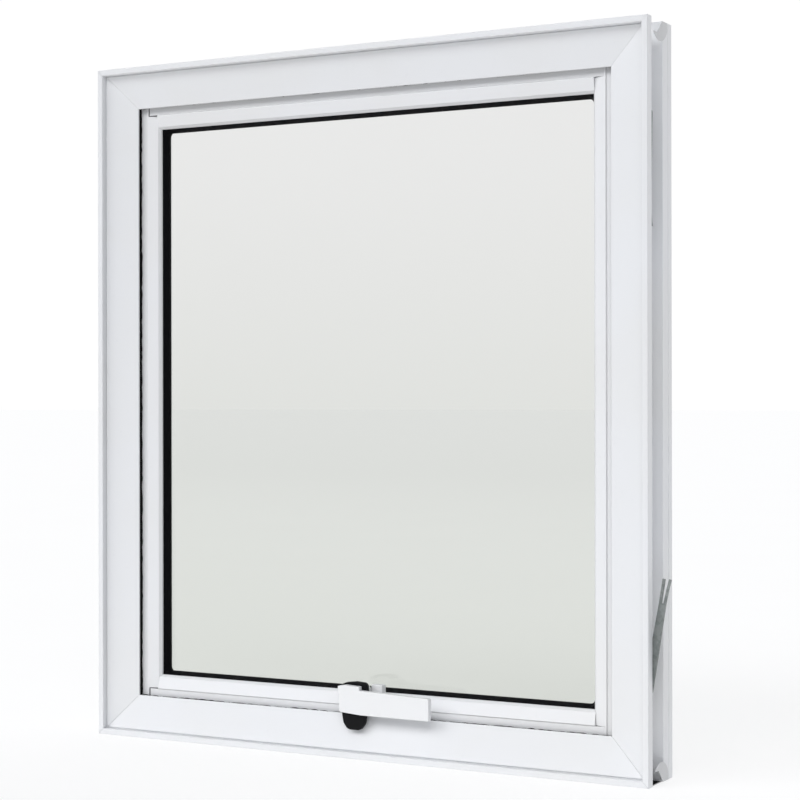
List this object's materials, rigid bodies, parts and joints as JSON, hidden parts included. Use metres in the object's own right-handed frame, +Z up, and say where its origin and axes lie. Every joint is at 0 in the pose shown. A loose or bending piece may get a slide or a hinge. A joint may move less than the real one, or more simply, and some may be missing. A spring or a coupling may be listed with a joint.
{
  "type": "top-hung projecting window",
  "caption": "White framed top-hung projecting window: an outward-opening glazed sash on sliding stays, with a turning lever latch and hinged wall ties.",
  "frame": {"origin": "middle of the front flange's underside, under the centre of the sill", "axes": "+X along the sill to the right seen from the room, +Y outdoors, +Z up"},
  "size_m": [0.6177, 0.0619, 0.68],
  "materials": {
    "white_aluminium": "satin white powder coat on extruded aluminium",
    "corner_plate": "pale grey moulded plastic",
    "cast_aluminium": "raw die-cast",
    "pile": "black woven pile",
    "stainless": "brushed stainless",
    "steel_pin": "turned steel",
    "nylon_shoe": "natural nylon",
    "glass": "clear float glass",
    "black_rubber": "black EPDM",
    "block_plastic": "hard plastic",
    "white_casting": "white paint on a zinc casting",
    "black_nylon": "black nylon, light grain",
    "galvanised": "galvanised strip, dull",
    "screw_steel": "zinc plated steel"
  },
  "bodies": {
    "frame": {"frame_head": "white_aluminium", "frame_sill": "white_aluminium", "frame_jamb_left": "white_aluminium", "frame_jamb_right": "white_aluminium", "corner_cleats": "cast_aluminium", "corner_plates": "corner_plate", "pile_seal_head": "pile", "pile_seal_sill": "pile", "pile_seal_left": "pile", "pile_seal_right": "pile", "stay_track_left": "stainless", "stay_track_right": "stainless", "track_screws": "screw_steel", "frame_pivot_pins": "steel_pin", "tie_rivets": "screw_steel"},
    "stay_link_left": {"stay_link_left": "stainless"},
    "stay_link_right": {"stay_link_right": "stainless"},
    "sash": {"sash_stile_left": "white_aluminium", "sash_stile_right": "white_aluminium", "sash_rail_top": "white_aluminium", "sash_rail_bottom": "white_aluminium", "sash_corner_screws": "screw_steel", "glass_pane": "glass", "setting_blocks": "block_plastic", "gasket_room": "black_rubber", "gasket_outside": "black_rubber", "glazing_bead_top": "white_aluminium", "glazing_bead_bottom": "white_aluminium", "glazing_bead_left": "white_aluminium", "glazing_bead_right": "white_aluminium", "sash_arm_left": "stainless", "sash_arm_right": "stainless", "arm_screws": "screw_steel", "link_pins": "steel_pin", "shoe_pins": "steel_pin", "latch_base": "white_casting", "latch_base_screws": "screw_steel", "latch_washer": "screw_steel"},
    "shoe_left": {"stay_shoe_left": "nylon_shoe"},
    "shoe_right": {"stay_shoe_right": "nylon_shoe"},
    "latch": {"latch_tongue": "black_nylon", "latch_lever": "white_casting", "latch_pivot_screw": "screw_steel"},
    "tie_top_left": {"wall_tie_top_left": "galvanised"},
    "tie_top_right": {"wall_tie_top_right": "galvanised"},
    "tie_bottom_left": {"wall_tie_bottom_left": "galvanised"},
    "tie_bottom_right": {"wall_tie_bottom_right": "galvanised"}
  },
  "joints": [
    {"name": "sash_open", "type": "hinge", "parent": "frame", "child": "stay_link_left", "pos_m": [-0.27015, 0.03075, 0.398], "axis": [-1, 0, 0], "range_deg": [0, 60]},
    {"name": "sash_on_link", "type": "hinge", "parent": "stay_link_left", "child": "sash", "pos_m": [-0.27015, 0.03075, 0.523], "axis": [1, 0, 0], "range_deg": [0, 120]},
    {"name": "shoe_left_pivot", "type": "hinge", "parent": "sash", "child": "shoe_left", "pos_m": [-0.27015, 0.03075, 0.648], "axis": [-1, 0, 0], "range_deg": [0, 60]},
    {"name": "shoe_right_pivot", "type": "hinge", "parent": "sash", "child": "shoe_right", "pos_m": [0.27015, 0.03075, 0.648], "axis": [-1, 0, 0], "range_deg": [0, 60]},
    {"name": "right_link_swing", "type": "hinge", "parent": "frame", "child": "stay_link_right", "pos_m": [0.27015, 0.03075, 0.398], "axis": [-1, 0, 0], "range_deg": [0, 60]},
    {"name": "latch_turn", "type": "hinge", "parent": "sash", "child": "latch", "pos_m": [0, 0.00175, 0.059], "axis": [0, -1, 0], "range_deg": [0, 90]},
    {"name": "tie_top_left_swing", "type": "hinge", "parent": "frame", "child": "tie_top_left", "pos_m": [-0.2955, 0.0063, 0.595], "axis": [0, 1, 0], "range_deg": [0, 90]},
    {"name": "tie_top_right_swing", "type": "hinge", "parent": "frame", "child": "tie_top_right", "pos_m": [0.2955, 0.0063, 0.595], "axis": [0, -1, 0], "range_deg": [0, 90]},
    {"name": "tie_bottom_left_swing", "type": "hinge", "parent": "frame", "child": "tie_bottom_left", "pos_m": [-0.2955, 0.0063, 0.085], "axis": [0, -1, 0], "range_deg": [0, 90]},
    {"name": "tie_bottom_right_swing", "type": "hinge", "parent": "frame", "child": "tie_bottom_right", "pos_m": [0.2955, 0.0063, 0.085], "axis": [0, 1, 0], "range_deg": [-10, 80]}
  ],
  "couplings": [
    {"joint": "sash_on_link", "follows": "sash_open", "ratio": 2},
    {"joint": "shoe_left_pivot", "follows": "sash_open", "ratio": 1},
    {"joint": "shoe_right_pivot", "follows": "sash_open", "ratio": 1},
    {"joint": "right_link_swing", "follows": "sash_open", "ratio": 1}
  ]
}
